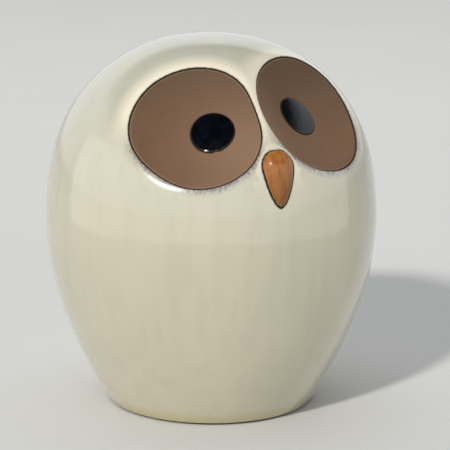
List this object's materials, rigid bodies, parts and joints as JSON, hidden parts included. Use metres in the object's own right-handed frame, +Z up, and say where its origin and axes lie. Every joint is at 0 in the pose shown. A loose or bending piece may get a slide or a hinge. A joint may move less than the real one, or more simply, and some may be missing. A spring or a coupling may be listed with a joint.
{
  "type": "figural coin bank",
  "caption": "Owl-shaped glazed stoneware coin bank with dished eyes, a back coin slot and a rubber stopper in its foot.",
  "frame": {"origin": "centre of the foot, on the surface that the bank stands on", "axes": "+Z up, -Y the way the owl faces, +X towards the owl's own left"},
  "size_m": [0.134, 0.1339, 0.1501],
  "materials": {
    "body_glaze": "glossy celadon glaze over stoneware",
    "bare_clay": "unglazed, fine sandy stoneware",
    "eye_clay": "matte brown slip on bare clay",
    "pupil_glaze": "glossy black glaze",
    "beak_glaze": "glossy amber glaze",
    "stopper_rubber": "matte moulded rubber"
  },
  "bodies": {
    "bank": {"body_shell": "body_glaze", "head_shell": "body_glaze", "base_slab": "bare_clay", "right_eye_disc": "eye_clay", "left_eye_disc": "eye_clay", "right_pupil": "pupil_glaze", "left_pupil": "pupil_glaze", "beak": "beak_glaze"},
    "stopper": {"stopper": "stopper_rubber"}
  },
  "joints": [
    {"name": "stopper_pull", "type": "slide", "parent": "bank", "child": "stopper", "axis": [0, 0, -1], "range_m": [0, 0.03]}
  ]
}
